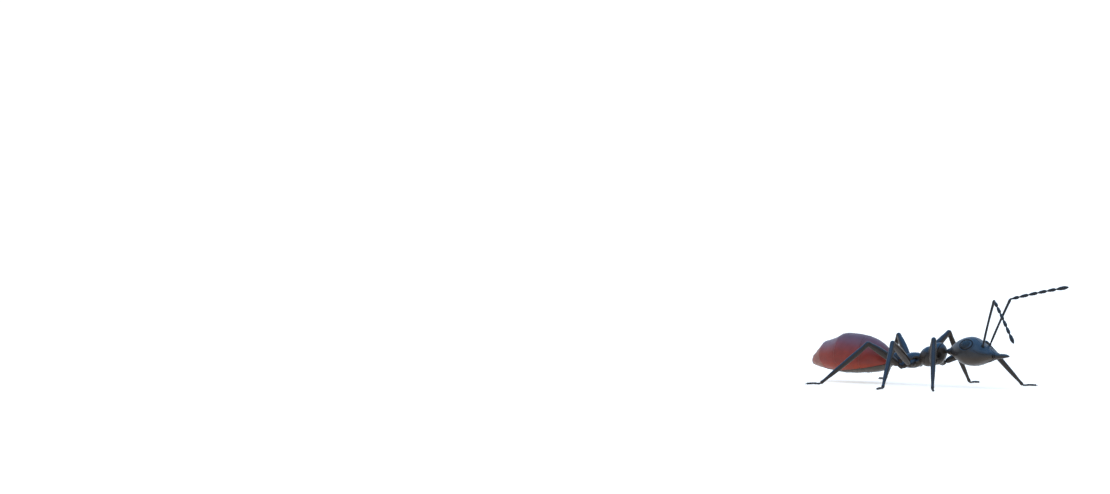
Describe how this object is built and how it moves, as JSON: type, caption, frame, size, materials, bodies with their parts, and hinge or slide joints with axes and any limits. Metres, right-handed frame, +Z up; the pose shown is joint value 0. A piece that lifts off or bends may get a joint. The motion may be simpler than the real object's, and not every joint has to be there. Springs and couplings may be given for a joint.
{
  "type": "giant forest ant",
  "caption": "Life-size still model of a giant forest ant worker, black with a red-brown abdomen, standing with both feelers raised.",
  "frame": {"origin": "on the floor, under the middle of the bounding box", "axes": "+Z up, the ant's head towards -Y, its left side towards +X"},
  "size_m": [0.0248, 0.034, 0.0132],
  "materials": {
    "body": "hard blue-black chitin with a fine grain and a satin gloss",
    "leg": "hard blue-black chitin, browner on the underside",
    "feeler": "hard black chitin, beaded past the elbow",
    "mandible": "thick black chitin, polished at the tips",
    "eye": "dark glossy dome of many fine facets",
    "abdomen": "red-brown chitin plates with a purple sheen above and grey-brown plates below"
  },
  "bodies": {
    "root": {"coxa_front_left": "leg", "coxa_front_right": "leg", "coxa_hind_left": "leg", "coxa_hind_right": "leg", "coxa_middle_left": "leg", "coxa_middle_right": "leg", "eye_left": "eye", "eye_right": "eye", "femur_front_left": "leg", "femur_front_right": "leg", "femur_hind_left": "leg", "femur_hind_right": "leg", "femur_middle_left": "leg", "femur_middle_right": "leg", "flagellum_left": "feeler", "flagellum_right": "feeler", "gaster_1": "abdomen", "gaster_2": "abdomen", "gaster_3": "abdomen", "gaster_4": "abdomen", "gaster_5": "abdomen", "head": "body", "mandible_left": "mandible", "mandible_right": "mandible", "mesonotum": "body", "neck": "body", "petiole": "body", "pronotum": "body", "propodeum": "body", "scape_left": "feeler", "scape_right": "feeler", "tarsus_front_left": "leg", "tarsus_front_right": "leg", "tarsus_hind_left": "leg", "tarsus_hind_right": "leg", "tarsus_middle_left": "leg", "tarsus_middle_right": "leg", "tibia_front_left": "leg", "tibia_front_right": "leg", "tibia_hind_left": "leg", "tibia_hind_right": "leg", "tibia_middle_left": "leg", "tibia_middle_right": "leg", "trochanter_front_left": "leg", "trochanter_front_right": "leg", "trochanter_hind_left": "leg", "trochanter_hind_right": "leg", "trochanter_middle_left": "leg", "trochanter_middle_right": "leg"}
  },
  "joints": []
}
